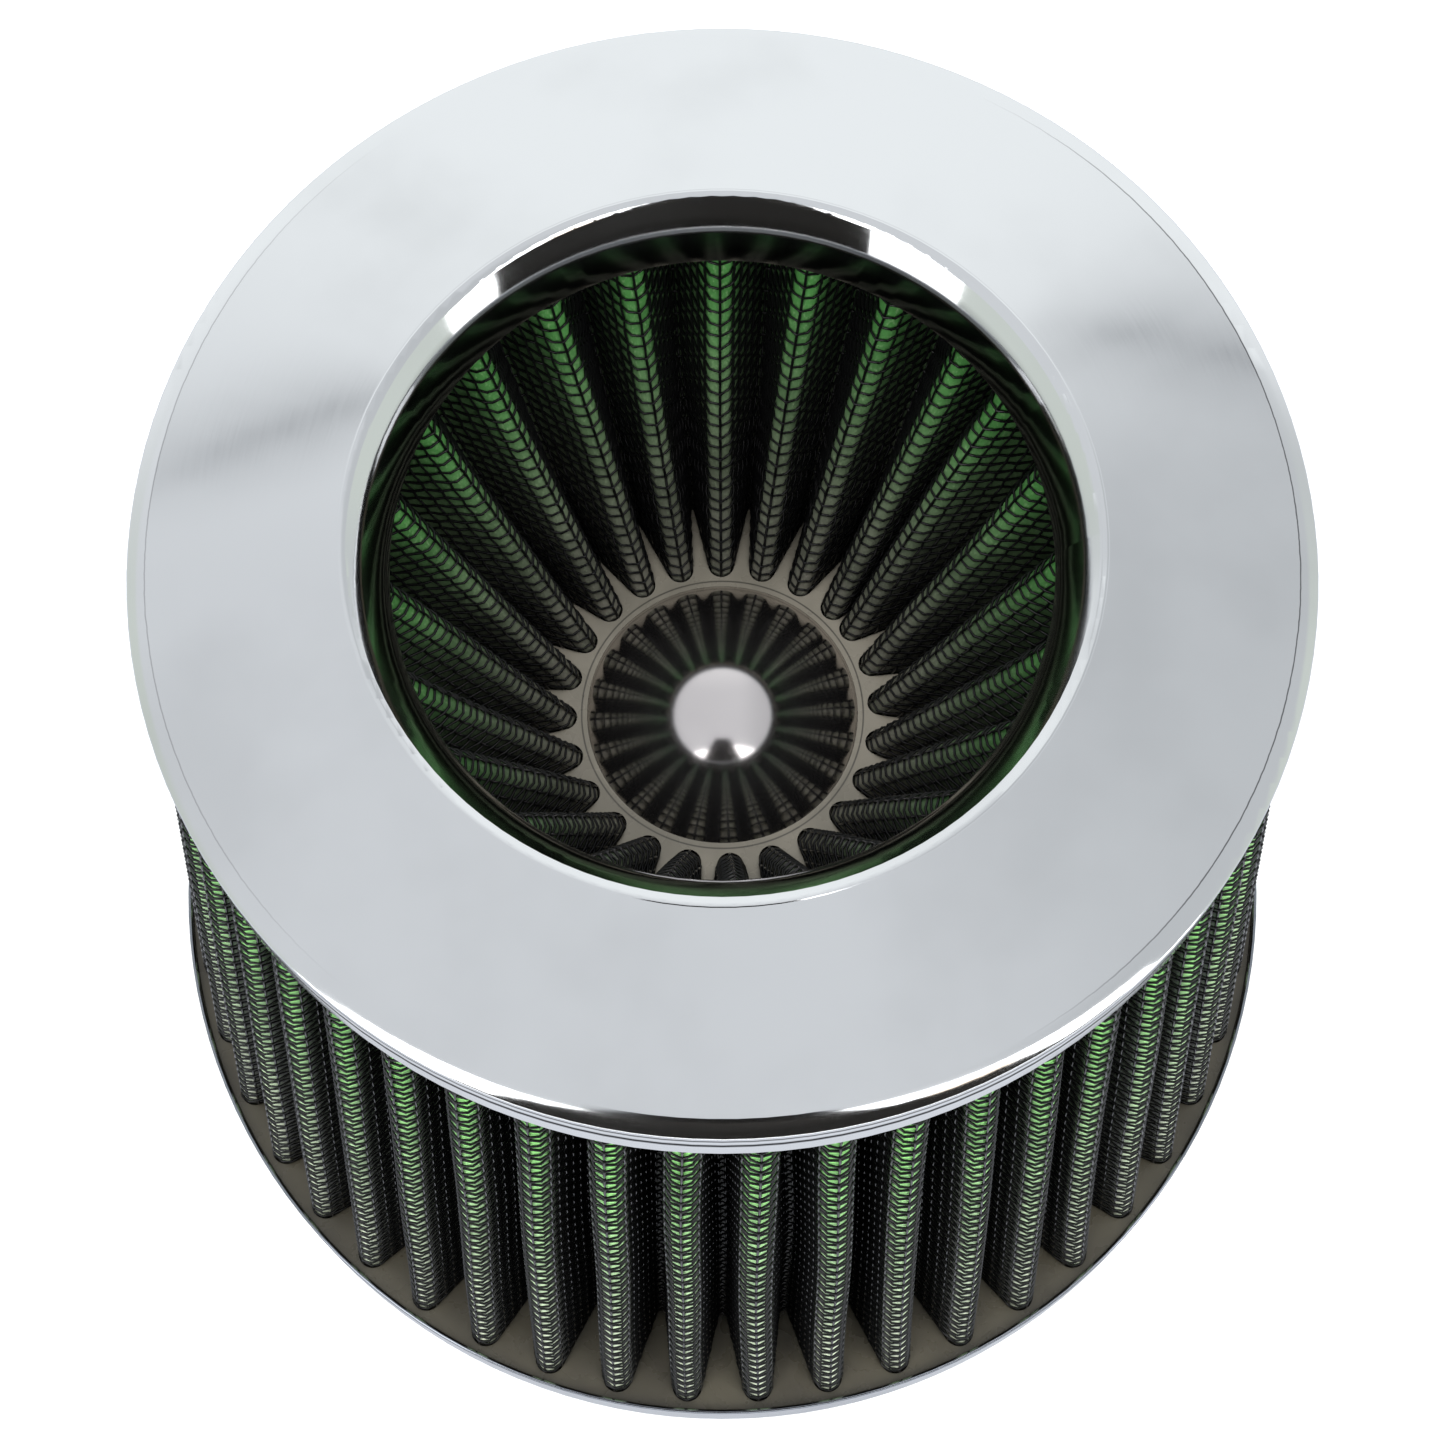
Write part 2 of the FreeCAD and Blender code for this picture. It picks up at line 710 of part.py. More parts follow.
def make_housing():
    """The clamp housing: an arch over the worm with two cheeks that straddle the band."""
    wall, gap = size["housing_wall"], size["layer_gap"]
    arch = size["screw_crest"] + size["screw_gap"] + wall
    low, high = size["band_foot"] - gap - wall, band_top + gap + wall
    shoulder = tail_outside + gap + wall
    body = new_body("housing_blank")
    sketch = new_sketch(body, "housing_blank_outline", "XZ_Plane")
    draw_outline(
        sketch,
        (
            (band_inside, low),
            (shoulder, low),
            (shoulder + wall, band_middle - arch),
            (screw_axis, band_middle - arch, arch, "left"),
            (screw_axis + arch, band_middle, arch, "left"),
            (screw_axis, band_middle + arch),
            (shoulder + wall, band_middle + arch),
            (shoulder, high),
            (band_inside, high),
        ),
    )
    padded(body, "housing_blank_pad", sketch, size["housing_length"])
    length = size["housing_length"] + 2 * MARGIN
    side = FreeCAD.Vector(0, -length.number / 2, 0)
    channel_corner = FreeCAD.Vector(
        (band_inside - MARGIN).number, 0, (size["band_foot"] - gap).number
    )
    channel = box(
        "housing_channel",
        tail_outside + gap - band_inside + MARGIN,
        length,
        size["band_width"] + gap * 2,
        FreeCAD.Placement(channel_corner + side, no_turn),
    )
    bore_foot = FreeCAD.Vector(screw_axis.number, 0, band_middle.number)
    bore = rod(
        "housing_bore",
        size["screw_crest"] + size["screw_gap"],
        length,
        FreeCAD.Placement(bore_foot + side, along_y),
    )
    return cut("clamp_housing", body, channel, bore)


def make_screw():
    """The clamp screw, drawn along Z and laid along Y: an end button, the worm, a collar and a
    slotted hexagon."""
    half = size["housing_length"] / 2 + size["layer_gap"]
    collar_top = half + size["collar_length"]
    button_foot = as_size(0) - half - size["collar_length"]
    root, collar = size["screw_root"], size["collar_radius"]
    body = revolved(
        "clamp_screw_body",
        (
            (as_size(0), button_foot),
            (size["screw_crest"], button_foot),
            (collar, button_foot + size["collar_length"] / 2),
            (collar, as_size(0) - half),
            (root, as_size(0) - half),
            (root, half),
            (collar, half),
            (collar, collar_top),
            (as_size(0), collar_top),
        ),
    )
    sketch = new_sketch(body, "thread_outline", "XZ_Plane")
    half_thread = size["thread_length"] / 2
    foot = as_size(0) - half_thread
    pitch = size["screw_pitch"]
    draw_outline(
        sketch,
        (
            (root - 0.3, foot),
            (root - 0.3, foot + pitch * 0.7),
            (size["screw_crest"], foot + pitch * 0.48),
            (size["screw_crest"], foot + pitch * 0.22),
        ),
    )
    thread = body.newObject("PartDesign::AdditiveHelix", "clamp_screw_thread")
    thread.Profile = sketch
    thread.ReferenceAxis = (sketch, ["V_Axis"])
    thread.Mode = 0
    thread.setExpression("Pitch", pitch.text)
    thread.setExpression("Height", (size["thread_length"] - pitch).text)
    hexagon = doc.addObject("Part::Prism", "screw_hexagon")
    hexagon.Polygon = 6
    hexagon.setExpression("Circumradius", (size["hex_across"] / math.sqrt(3)).text)
    hexagon.setExpression("Height", size["hex_length"].text)
    hexagon.Placement.Base.z = collar_top.number
    slot = size["driver_slot"]
    slot_corner = FreeCAD.Vector(
        -collar.number, -slot.number / 2, (collar_top + size["hex_length"] - slot).number
    )
    slot_tool = box(
        "screw_slot", collar * 2, slot, slot + MARGIN, FreeCAD.Placement(slot_corner, no_turn)
    )
    head = cut("screw_head", hexagon, slot_tool)
    screw = doc.addObject("Part::Fuse", "clamp_screw")
    screw.Label = "clamp_screw"
    screw.Base = body
    screw.Tool = head
    screw.Placement = FreeCAD.Placement(
        FreeCAD.Vector(screw_axis.number, 0, band_middle.number), along_y
    )
    return screw


# -------------------------------------------------------------------------------- assembly


def check(label, shape):
    """Stops the build if a node's shape is not one sound solid."""
    if shape.isNull() or not shape.isValid():
        raise RuntimeError(f"{label}: the shape is not valid")
    if len(shape.Solids) != 1 or shape.Volume <= 0:
        raise RuntimeError(f"{label}: {len(shape.Solids)} solids, volume {shape.Volume:.1f}")


nodes = [
    make_neck(),
    make_pan(),
    make_base_casting(),
    *make_plies(outer_cone, "front", "back"),
    make_trim_ring(),
    make_top_casting(),
    *make_plies(inner_cone, "back", "front"),
    make_plug(),
    make_dome(),
    make_band(),
    make_tail(),
    make_housing(),
    make_screw(),
]
doc.recompute()

for item in doc.Objects:
    if "Invalid" in item.State or "Error" in item.State:
        raise RuntimeError(f"{item.Name}: {item.State}")

os.makedirs("parts", exist_ok=True)
for node in nodes:
    check(node.Label, node.Shape)
    node.Shape.exportStep(f"parts/{node.Label}.step")
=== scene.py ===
"""The looks of the twin-cone air filter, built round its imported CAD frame.

The wire cloth that the air meets first on each cone is woven wire by wire, over cotton that
bulges through the holes; the cloth behind the cotton is a thin sheet that carries a drawn weave.
All lengths are in metres unless a function says millimetres.
"""

import math

import bpy
import numpy as np
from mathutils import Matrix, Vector


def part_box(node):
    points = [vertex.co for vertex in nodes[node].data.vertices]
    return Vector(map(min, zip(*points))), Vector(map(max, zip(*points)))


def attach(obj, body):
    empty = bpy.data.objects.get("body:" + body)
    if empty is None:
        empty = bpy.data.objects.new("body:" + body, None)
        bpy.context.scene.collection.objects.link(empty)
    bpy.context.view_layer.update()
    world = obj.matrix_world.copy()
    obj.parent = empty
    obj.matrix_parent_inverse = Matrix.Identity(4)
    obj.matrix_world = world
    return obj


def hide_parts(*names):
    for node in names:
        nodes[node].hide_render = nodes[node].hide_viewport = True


MM = 0.001

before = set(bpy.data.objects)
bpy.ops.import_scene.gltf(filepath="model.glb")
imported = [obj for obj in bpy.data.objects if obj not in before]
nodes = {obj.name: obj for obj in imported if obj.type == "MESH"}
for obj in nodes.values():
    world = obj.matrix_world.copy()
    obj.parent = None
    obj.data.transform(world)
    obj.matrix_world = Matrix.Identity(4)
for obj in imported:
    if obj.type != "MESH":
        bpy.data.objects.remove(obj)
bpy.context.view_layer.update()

BASE_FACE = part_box("base_casting")[1].z
CAP_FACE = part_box("top_casting")[0].z
PLUG_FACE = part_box("inner_plug")[1].z
PAN_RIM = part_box("base_pan")[1].z
ROOT = "filter"

RING_CREASE = 58.0 * MM
SKIRT_GROOVES = ((155.65 * MM, 0.50 * MM, 0.90), (153.4 * MM, 0.95 * MM, 1.0))
# Height, half width and darkness of the painted shade in each groove of the trim ring's skirt.
"""Height, half width and darkness of the grime in each groove of the trim ring's skirt."""
DARKENED_THROAT = (35.2 * MM, 36.3 * MM)
THROAT_DARKENING = 0.6
# The throat's chrome is darkened by this share inside the first of these radii, and not at all outside the
# second.
"""The throat is filmed over inside the first of these radii and clean outside the second."""
PLUG_LIP = 16.6 * MM

# The dark colour painted on the ring: painted shade in its crease and grooves, and darkening low in its
# throat.
RING_DARK_TONE = (0.05, 0.05, 0.055)
DARK_OIL = (0.0, 0.02, 0.0)
DRY_FIBRE = (0.45, 0.6, 0.35)
# The colour of the painted shade deep in the cotton's folds.
FOLD_SHADE = (0.010, 0.009, 0.007)


# ---------------------------------------------------------------------------- shader helpers


def new_material(name):
    """A node material with a Principled shader: (material, node tree, shader)."""
    material = bpy.data.materials.new(name)
    material.use_nodes = True
    tree = material.node_tree
    shader = tree.nodes["Principled BSDF"]
    return material, tree, shader


def facing_away(tree, blend):
    """How far the surface turns away from the eye: nought face on, one edge on."""
    node = tree.nodes.new("ShaderNodeLayerWeight")
    node.inputs["Blend"].default_value = blend
    return node.outputs["Facing"]


def maths(tree, operation, first, second=None):
    """A Math node on two values or sockets; returns its output."""
    node = tree.nodes.new("ShaderNodeMath")
    node.operation = operation
    for index, item in enumerate((first, second)):
        if item is None:
            continue
        if isinstance(item, (int, float)):
            node.inputs[index].default_value = item
        else:
            tree.links.new(item, node.inputs[index])
    return node.outputs[0]


def ramp_value(tree, value, low, high, to_low=0.0, to_high=1.0):
    """A smooth change from to_low to to_high while value goes from low to high."""
    node = tree.nodes.new("ShaderNodeMapRange")
    node.interpolation_type = "SMOOTHSTEP"
    tree.links.new(value, node.inputs["Value"])
    node.inputs["From Min"].default_value = low
    node.inputs["From Max"].default_value = high
    node.inputs["To Min"].default_value = to_low
    node.inputs["To Max"].default_value = to_high
    return node.outputs["Result"]


def near_value(tree, value, middle, full, none, strength):
    """The strength while value is within full of middle, falling to nought at none."""
    off = maths(tree, "ABSOLUTE", maths(tree, "SUBTRACT", value, middle))
    return ramp_value(tree, off, full, none, strength, 0.0)


def mix_colour(tree, share, first, second):
    """A colour mix; share, first and second may be values or sockets."""
    node = tree.nodes.new("ShaderNodeMix")
    node.data_type = "RGBA"
    for socket, item in zip((node.inputs[0], node.inputs[6], node.inputs[7]), (share, first, second)):
        if isinstance(item, bpy.types.NodeSocket):
            tree.links.new(item, socket)
        elif isinstance(item, (int, float)):
            socket.default_value = item
        else:
            socket.default_value = (*item, 1.0)
    return node.outputs[2]


def dot_product(tree, vector, fixed):
    """The dot product of a vector socket with a fixed vector."""
    node = tree.nodes.new("ShaderNodeVectorMath")
    node.operation = "DOT_PRODUCT"
    tree.links.new(vector, node.inputs[0])
    node.inputs[1].default_value = fixed
    return node.outputs["Value"]


def noise(tree, scale, detail=3.0, stretch=(1.0, 1.0, 1.0), vector=None):
    """Noise over object space, in features of about 1/scale metres; returns its value."""
    mapping = tree.nodes.new("ShaderNodeMapping")
    mapping.inputs["Scale"].default_value = stretch
    if vector is None:
        vector = tree.nodes.new("ShaderNodeTexCoord").outputs["Object"]
    tree.links.new(vector, mapping.inputs["Vector"])
    node = tree.nodes.new("ShaderNodeTexNoise")
    node.inputs["Scale"].default_value = scale
    node.inputs["Detail"].default_value = detail
    tree.links.new(mapping.outputs["Vector"], node.inputs["Vector"])
    return node.outputs["Fac"]


def bump(tree, shader, height, depth, normal=None):
    """Adds a bump of this depth in metres to the shader."""
    node = tree.nodes.new("ShaderNodeBump")
    node.inputs["Strength"].default_value = 1.0
    node.inputs["Distance"].default_value = depth
    tree.links.new(height, node.inputs["Height"])
    if normal is not None:
        tree.links.new(normal, node.inputs["Normal"])
    tree.links.new(node.outputs["Normal"], shader.inputs["Normal"])
    return node.outputs["Normal"]


def split_vector(tree, vector):
    """The three parts of a vector socket."""
    node = tree.nodes.new("ShaderNodeSeparateXYZ")
    tree.links.new(vector, node.inputs[0])
    return node.outputs


def around_axis(tree):
    """Object space turned into distance from the axis, angle and height, as one vector."""
    across, along, up = split_vector(tree, tree.nodes.new("ShaderNodeTexCoord").outputs["Object"])
    squares = [maths(tree, "MULTIPLY", part, part) for part in (across, along)]
    join = tree.nodes.new("ShaderNodeCombineXYZ")
    tree.links.new(maths(tree, "SQRT", maths(tree, "ADD", *squares)), join.inputs[0])
    tree.links.new(maths(tree, "ARCTAN2", along, across), join.inputs[1])
    tree.links.new(up, join.inputs[2])
    return join.outputs[0]


# --------------------------------------------------------------------------------- materials


def ring_dark_share(tree, crease, grooves):
    """How much of the ring's dark colour goes where: a painted dark reflection as an uneven hair line
    along its crease, strong on the +X side and weak on the -X side, painted shade as a line in each
    groove of its skirt, and darkening low in its throat."""
    radius, angle, height = split_vector(tree, around_axis(tree))
    wander = maths(tree, "MULTIPLY", noise(tree, 900.0, 3.0), 0.16 * MM)
    # painted dark reflection: a hair line along the crease, stronger on the +X side
    line = near_value(tree, maths(tree, "ADD", radius, wander), crease, 0.03 * MM, 0.10 * MM, 1.0)
    side = maths(tree, "COSINE", angle)
    right = ramp_value(tree, side, 0.45, 0.85, 0.0, 0.8)
    left = ramp_value(tree, side, -0.95, -0.6, 0.35, 0.0)
    total = maths(tree, "MULTIPLY", line, maths(tree, "ADD", right, left))
    on_skirt = ramp_value(tree, radius, crease + 1.2 * MM, crease + 1.4 * MM)
    for groove, half_width, strength in grooves:
        # painted shade: a dark line in this groove of the skirt
        dark = near_value(tree, height, groove, 0.3 * half_width, half_width, strength)
        total = maths(tree, "MAXIMUM", total, maths(tree, "MULTIPLY", dark, on_skirt))
    # darker low in the throat, inside the first radius and fading out by the second
    throat_dark = ramp_value(tree, radius, *DARKENED_THROAT, THROAT_DARKENING, 0.0)
    return maths(tree, "MAXIMUM", total, throat_dark)


def chrome_material(name, tint, rough, haze, crease=None, grooves=(), metal=1.0):
    """Polished chrome: faint polishing lines round the axis, handling haze, and, if there are any,
    painted shade in the crease and the grooves with darkening low in the throat.  Metal below one
    leaves a thin film of oil."""
    material, tree, shader = new_material(name)
    shader.inputs["Metallic"].default_value = metal
    smear = ramp_value(tree, noise(tree, 35.0, 4.0), 0.45, 0.75)
    lines = noise(tree, 1.0, 4.0, (2600.0, 3.0, 2600.0), around_axis(tree))
    tarnished = tuple(0.9 * part for part in tint)
    colour = mix_colour(tree, smear, tint, tarnished)
    if crease is not None:
        # painted shade along the crease and in the grooves, and darkening low in the throat
        colour = mix_colour(tree, ring_dark_share(tree, crease, grooves), colour, RING_DARK_TONE)
    tree.links.new(colour, shader.inputs["Base Color"])
    rough_lines = maths(tree, "MULTIPLY", lines, 0.5 * rough)
    rough_smear = maths(tree, "MULTIPLY", smear, haze)
    total = maths(tree, "ADD", maths(tree, "ADD", rough_lines, rough_smear), 0.75 * rough)
    tree.links.new(total, shader.inputs["Roughness"])
    bump(tree, shader, lines, 0.0006 * MM)
    return material


def cotton_material(name, colours, heights, tips, fade, face_on=None):
    """Oiled cotton: wet fibres, uneven oil, a colour that changes with height, and painted shade
    that darkens the folds away from the crests.  With face_on, its colour is painted paler at
    grazing angles than face on, a painted sheen.  Each pair holds the low and the high value;
    fade holds the depths where the painted shade starts and ends, and its strength."""
    material, tree, shader = new_material(name)
    radius, _, height = split_vector(tree, around_axis(tree))
    rise = maths(tree, "DIVIDE", maths(tree, "SUBTRACT", height, heights[0]), heights[1] - heights[0])
    climb = ramp_value(tree, rise, 0.0, 1.0)
    body = mix_colour(tree, climb, *colours)
    if face_on is not None:
        # painted sheen: the colour turns from the face-on pair to the paler pair at grazing angles
        painted_sheen = ramp_value(tree, facing_away(tree, 0.5), 0.3, 0.65)
        body = mix_colour(tree, painted_sheen, mix_colour(tree, climb, *face_on), body)
    oil = ramp_value(tree, noise(tree, 120.0, 4.0), 0.35, 0.7)
    oiled = mix_colour(tree, oil, body, mix_colour(tree, 0.35, body, DARK_OIL))
    fibres = noise(tree, 3200.0, 5.0, (1.0, 1.0, 0.45))
    pale = mix_colour(tree, ramp_value(tree, fibres, 0.5, 0.8, 0.0, 0.25), oiled, DRY_FIBRE)

    # painted shade in the folds, growing with the depth away from the crests
    crest = maths(tree, "ADD", maths(tree, "MULTIPLY", rise, tips[1] - tips[0]), tips[0])
    depth = maths(tree, "ABSOLUTE", maths(tree, "SUBTRACT", radius, crest))
    clear_depth, dark_depth, darkness = fade
    in_fold = ramp_value(tree, depth, clear_depth, dark_depth, 0.0, darkness)
    tree.links.new(mix_colour(tree, in_fold, pale, FOLD_SHADE), shader.inputs["Base Color"])
    shader.inputs["Roughness"].default_value = 0.42
    shader.inputs["Specular IOR Level"].default_value = 0.45
    bump(tree, shader, fibres, 0.12 * MM)
    return material


def wire_material(name):
    """Black epoxy over wire: dark from the front, with a soft grey shine at grazing angles, partly a painted
    sheen in its colour.
    """
    material, tree, shader = new_material(name)
    # painted sheen: the colour is a little lighter at grazing angles
    tone = mix_colour(tree, facing_away(tree, 0.35), (0.002, 0.002, 0.002), (0.007, 0.007, 0.008))
    tree.links.new(tone, shader.inputs["Base Color"])
    shader.inputs["Roughness"].default_value = 0.18
    shader.inputs["Specular IOR Level"].default_value = 0.3
    shader.inputs["Coat Weight"].default_value = 0.2
    shader.inputs["Coat Roughness"].default_value = 0.1
    return material


def casting_material(name, light, dark, lip=None):
    """Poured polyurethane: half glossy, cloudy in tone, with flow ripples, fine pores and painted shade
    where it meets other pieces.  A lip is the radius of an edge with a dark line round it."""
    material, tree, shader = new_material(name)
    cloud = ramp_value(tree, noise(tree, 90.0, 5.0), 0.3, 0.7)
    speck = ramp_value(tree, noise(tree, 1800.0, 2.0), 0.62, 0.72)
    body = mix_colour(tree, cloud, light, dark)
    spotted = mix_colour(tree, maths(tree, "MULTIPLY", speck, 0.18), body, dark)
    # painted shade: darker wherever other surfaces are close (ambient occlusion)
    contact = tree.nodes.new("ShaderNodeAmbientOcclusion")
    contact.samples = 8
    contact.inputs["Distance"].default_value = 1.5 * MM
    shade = ramp_value(tree, contact.outputs["AO"], 0.25, 0.8, 0.7, 0.0)
    # the tone of the painted shade, and of the lip's dark line
    shade_and_line_tone = tuple(0.12 * part for part in dark)
    colour = mix_colour(tree, shade, spotted, shade_and_line_tone)
    if lip is not None:
        radius = split_vector(tree, around_axis(tree))[0]
        line = near_value(tree, radius, lip, 0.04 * MM, 0.14 * MM, 0.75)
        colour = mix_colour(tree, line, colour, shade_and_line_tone)
    tree.links.new(colour, shader.inputs["Base Color"])
    gloss = ramp_value(tree, noise(tree, 260.0, 3.0), 0.3, 0.7, 0.24, 0.34)
    tree.links.new(gloss, shader.inputs["Roughness"])
    ripples = bump(tree, shader, noise(tree, 190.0, 2.0), 0.05 * MM)
    bump(tree, shader, speck, -0.012 * MM, ripples)
    return material


def rubber_material(name):
    """Moulded rubber: a matt skin with fine mould texture and a dusty bloom."""
    material, tree, shader = new_material(name)
    bloom = ramp_value(tree, noise(tree, 60.0, 5.0), 0.35, 0.75)
    tone = mix_colour(tree, bloom, (0.018, 0.018, 0.018), (0.038, 0.038, 0.036))
    tree.links.new(tone, shader.inputs["Base Color"])
    dullness = maths(tree, "ADD", maths(tree, "MULTIPLY", bloom, 0.15), 0.5)
    tree.links.new(dullness, shader.inputs["Roughness"])
    bump(tree, shader, noise(tree, 2400.0, 3.0), 0.03 * MM)
    return material


def steel_material(name, tone, stretch, rough):
    """Rolled stainless steel: fine lines along the strip and a little staining."""
    material, tree, shader = new_material(name)
    shader.inputs["Metallic"].default_value = 1.0
    lines = noise(tree, 1.0, 4.0, stretch, around_axis(tree))
    stain = ramp_value(tree, noise(tree, 150.0, 4.0), 0.4, 0.8)
    darker = tuple(0.72 * part for part in tone)
    tree.links.new(mix_colour(tree, stain, tone, darker), shader.inputs["Base Color"])
    lined = ramp_value(tree, lines, 0.3, 0.7, rough - 0.08, rough + 0.1)
    tree.links.new(lined, shader.inputs["Roughness"])
    bump(tree, shader, lines, 0.004 * MM)
    return material


def weave_material(name):
    """Wire cloth seen from its clean side: black wires woven over green cotton, drawn from the
    cloth's own thread coordinates."""
    material, tree, shader = new_material(name)
    thread = tree.nodes.new("ShaderNodeUVMap")
    thread.uv_map = "threads"
    covers = []
    for number in split_vector(tree, thread.outputs[0])[:2]:
        phase = maths(tree, "FRACT", number)
        from_wire = maths(tree, "ABSOLUTE", maths(tree, "SUBTRACT", phase, 0.5))
        covers.append(ramp_value(tree, from_wire, 0.08, 0.14, 1.0, 0.0))
    wires = maths(tree, "MAXIMUM", covers[0], covers[1])
    fibres = noise(tree, 2600.0, 3.0)
    cotton = mix_colour(tree, fibres, (0.05, 0.22, 0.04), (0.12, 0.36, 0.09))
    tree.links.new(mix_colour(tree, wires, cotton, (0.012, 0.012, 0.012)), shader.inputs["Base Color"])
    tree.links.new(ramp_value(tree, wires, 0.0, 1.0, 0.9, 0.35), shader.inputs["Roughness"])
    bump(tree, shader, wires, 0.2 * MM)
    return material


# --------------------------------------------------------------------------- mesh helpers


def mesh_object(name, points, quads, material):
    """A smooth mesh object from arrays of points and quads, riding on the filter."""
    mesh = bpy.data.meshes.new(name)
    mesh.vertices.add(len(points))
    mesh.vertices.foreach_set("co", np.asarray(points, np.float32).ravel())
    mesh.loops.add(quads.size)
    mesh.loops.foreach_set("vertex_index", quads.astype(np.int32).ravel())
    mesh.polygons.add(len(quads))
    mesh.polygons.foreach_set("loop_start", np.arange(0, quads.size, 4, dtype=np.int32))
    mesh.polygons.foreach_set("use_smooth", np.full(len(quads), True))
    mesh.update(calc_edges=True)
    mesh.materials.append(material)
    piece = bpy.data.objects.new(name, mesh)
    bpy.context.scene.collection.objects.link(piece)
    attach(piece, ROOT)
    return piece


def grid_quads(rows, columns, wrap_columns=False):
    """Quads of a grid of points laid out row by row."""
    column = np.arange(columns if wrap_columns else columns - 1)
    row, column = np.meshgrid(np.arange(rows - 1), column, indexing="ij")
    next_row, next_column = row + 1, (column + 1) % columns
    corners = [
        row * columns + column,
        row * columns + next_column,
        next_row * columns + next_column,
        next_row * columns + column,
    ]
    return np.stack(corners, -1).reshape(-1, 4)


def shell_quads(rows, columns, outward):
    """Quads of a closed sheet made of two grids, one after the other: its front, its back and
    the strip round its four edges."""
    front = grid_quads(rows, columns)
    grid = np.arange(rows * columns).reshape(rows, columns)
    border = np.concatenate([grid[0, :], grid[1:, -1], grid[-1, -2::-1], grid[-2:0:-1, 0]])
    following = np.roll(border, -1)
    edges = np.stack([border, border + grid.size, following + grid.size, following], -1)
    quads = np.concatenate([front, front[:, ::-1] + grid.size, edges])
    return quads if outward else quads[:, ::-1]


# ------------------------------------------------------------------------------- pleats


def unit(turn):
    """Unit vectors in the horizontal plane at these angles."""
    return np.stack([np.cos(turn), np.sin(turn)], -1)


def swung(vectors, turn):
    """Horizontal vectors turned by these angles."""
    cosine, sine = np.cos(turn), np.sin(turn)
    x, y = vectors[..., 0], vectors[..., 1]
    return np.stack([x * cosine - y * sine, x * sine + y * cosine], -1)


class Pleats:
    """The middle surface of a pleated cone.  Between one outward fold and the next it runs
    through five stretches: half a fold, a flank, an inward fold, a flank, half a fold."""

    def __init__(self, out_turns, in_turns, fold, out_radius, span, waver, seed):
        self.out_turns = out_turns
        self.in_turns = in_turns
        self.fold = fold
        self.out_radius = out_radius
        self.span = span
        self.waver = waver
        self.random = np.random.default_rng(seed)

    def turns(self, heights):
        """The angles of the outward and inward folds at each height; each fold wanders a little
        between its two castings."""
        rise = (heights - heights[0]) / (heights[-1] - heights[0])
        held = np.sin(np.pi * rise)[:, None]
        drifts = []
        for turns in (self.out_turns, self.in_turns):
            lean = self.random.normal(0, self.waver, len(turns))
            wave = self.random.normal(0, 0.4 * self.waver, len(turns))
            phase = self.random.uniform(0, 2 * np.pi, len(turns))
            wobble = wave * np.sin(2.6 * np.pi * rise[:, None] + phase)
            drifts.append(turns + held * (lean + wobble))
        return drifts

    def sheet(self, heights, per_pleat):
        """Points and outward normals on a grid: heights by per_pleat steps of every pleat."""
        out_turn, in_turn = self.turns(heights)
        out_radius = self.out_radius(heights)[:, None]
        crest = out_radius[..., None] * unit(out_turn)
        root = (out_radius - self.span(heights)[:, None])[..., None] * unit(in_turn)
        following = np.roll(crest, -1, axis=1)
        following_turn = np.roll(out_turn, -1, axis=1)

        gap = root - crest
        reach = np.linalg.norm(gap, axis=-1)
        first = swung(gap / reach[..., None], -np.arccos(2 * self.fold / reach))
        next_gap = following - root
        next_reach = np.linalg.norm(next_gap, axis=-1)
        second = swung(next_gap / next_reach[..., None], np.arccos(2 * self.fold / next_reach))

        first_turn = np.arctan2(first[..., 1], first[..., 0])
        second_turn = np.arctan2(second[..., 1], second[..., 0])
        sweeps = [
            (first_turn - out_turn) % (2 * np.pi),
            (first_turn + np.pi - second_turn) % (2 * np.pi),
            (following_turn - second_turn - np.pi) % (2 * np.pi),
        ]
        arcs = [self.fold * sweep for sweep in sweeps]
        flats = [np.sqrt(length**2 - (2 * self.fold) ** 2) for length in (reach, next_reach)]
        lengths = np.stack([arcs[0], flats[0], arcs[1], flats[1], arcs[2]], -1)
        ends = np.cumsum(lengths, -1)
        starts = ends - lengths
        share = np.arange(per_pleat) / per_pleat
        travelled = ends[..., -1:] * share
        local = []
        for k in range(5):
            along = (travelled - starts[..., k : k + 1]) / lengths[..., k : k + 1]
            local.append(np.clip(along, 0, 1)[..., None])

        def arc(centre, start, sweep, along, side):
            direction = unit(start[..., None] + sweep[..., None] * along[..., 0])
            return centre[..., None, :] + self.fold * direction, side * direction

        def flat(start, end, normal, along):
            line = start[..., None, :] + (end - start)[..., None, :] * along
            return line, np.broadcast_to(normal[..., None, :], line.shape)

        stretches = [
            arc(crest, out_turn, sweeps[0], local[0], 1),
            flat(crest + self.fold * first, root - self.fold * first, first, local[1]),
            arc(root, first_turn + np.pi, -sweeps[1], local[2], -1),
            flat(root + self.fold * second, following - self.fold * second, -second, local[3]),
            arc(following, second_turn + np.pi, sweeps[2], local[4], 1),
        ]
        points, normals = stretches[0]
        for k in range(1, 5):
            past = (travelled > ends[..., k - 1 : k])[..., None]
            points = np.where(past, stretches[k][0], points)
            normals = np.where(past, stretches[k][1], normals)
        rows = len(heights)
        return points.reshape(rows, -1, 2), normals.reshape(rows, -1, 2)


def lifted(points, normals, heights, offset):
    """A grid of 3-D points: the middle surface moved along its normals by an offset."""
    flat = points + normals * offset
    height = np.broadcast_to(heights[:, None, None], (*flat.shape[:2], 1))
    return np.concatenate([flat, height], -1)


